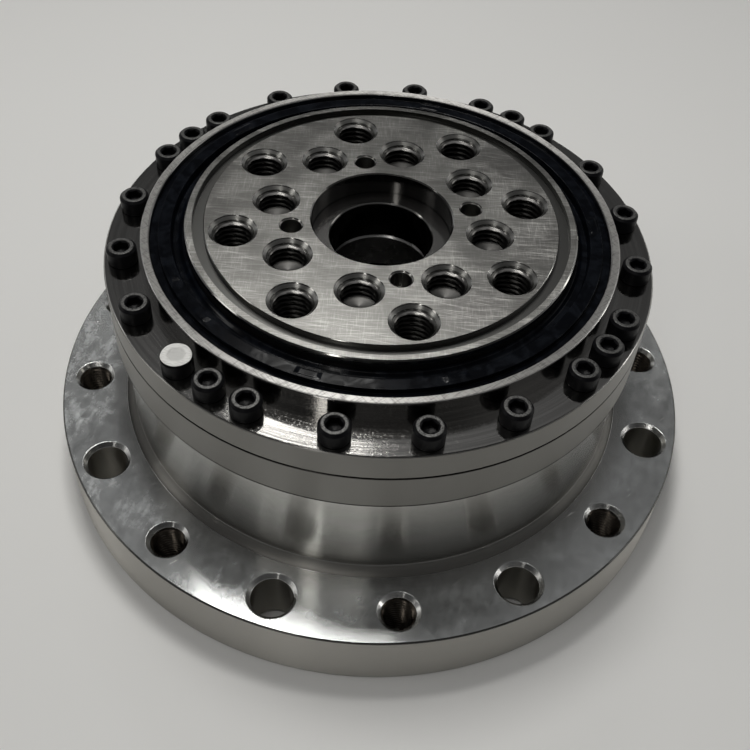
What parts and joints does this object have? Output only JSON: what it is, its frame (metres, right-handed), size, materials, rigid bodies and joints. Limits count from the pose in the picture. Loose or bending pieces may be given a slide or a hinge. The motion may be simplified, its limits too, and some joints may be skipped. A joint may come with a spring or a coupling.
{
  "type": "strain wave gearbox",
  "caption": "Round strain wave gearbox on a bolting flange: an oval plug flexes a thin toothed cup inside a toothed ring to turn the drilled output disc slowly.",
  "frame": {"origin": "middle of the base flange's underside", "axes": "+Z along the gear axis, out of the output face; the groups of three housing screws stand on the X and Y axes"},
  "size_m": [0.202, 0.202, 0.0845],
  "materials": {
    "base_aluminium": "turned",
    "ring_steel": "ground, dull",
    "ground_steel": "ground",
    "seal_rubber": "satin",
    "black_screw_steel": "black oxide",
    "bearing_steel": "polished",
    "gear_steel": "turned",
    "white_nylon": "moulded"
  },
  "bodies": {
    "housing": {"base_flange": "base_aluminium", "circular_spline": "ring_steel", "bearing_outer_ring": "ring_steel", "filler_plug": "ring_steel", "filler_pin": "bearing_steel", "oil_seal": "seal_rubber", "seal_case": "bearing_steel", "garter_spring": "bearing_steel", "upper_o_ring": "seal_rubber", "lower_o_ring": "seal_rubber", "mounting_screws": "black_screw_steel", "assembly_screws": "black_screw_steel"},
    "output": {"output_flange": "ground_steel", "flexspline": "gear_steel", "clamp_ring": "gear_steel", "flexspline_screws": "black_screw_steel"},
    "rollers": {"cross_rollers": "bearing_steel", "roller_spacers": "white_nylon"},
    "generator": {"generator_plug": "gear_steel", "bearing_inner_race": "bearing_steel", "bearing_outer_race": "bearing_steel", "bearing_balls": "bearing_steel", "ball_separator": "white_nylon", "coupling_insert": "gear_steel", "lower_rub_washer": "white_nylon", "upper_rub_washer": "white_nylon", "input_hub": "gear_steel", "hub_set_screws": "black_screw_steel", "snap_ring": "black_screw_steel"}
  },
  "joints": [
    {"name": "output_turn", "type": "hinge", "parent": "housing", "child": "output", "pos_m": [0, 0, 0.0708], "axis": [0, 0, 1], "continuous": true},
    {"name": "roller_orbit", "type": "hinge", "parent": "housing", "child": "rollers", "pos_m": [0, 0, 0.0708], "axis": [0, 0, 1], "continuous": true},
    {"name": "input_turn", "type": "hinge", "parent": "output", "child": "generator", "pos_m": [0, 0, 0.0356], "axis": [0, 0, 1], "continuous": true, "deforming": ["flexspline"]}
  ],
  "couplings": [
    {"joint": "output_turn", "follows": "input_turn", "ratio": -0.009901},
    {"joint": "roller_orbit", "follows": "input_turn", "ratio": -0.0049505}
  ]
}
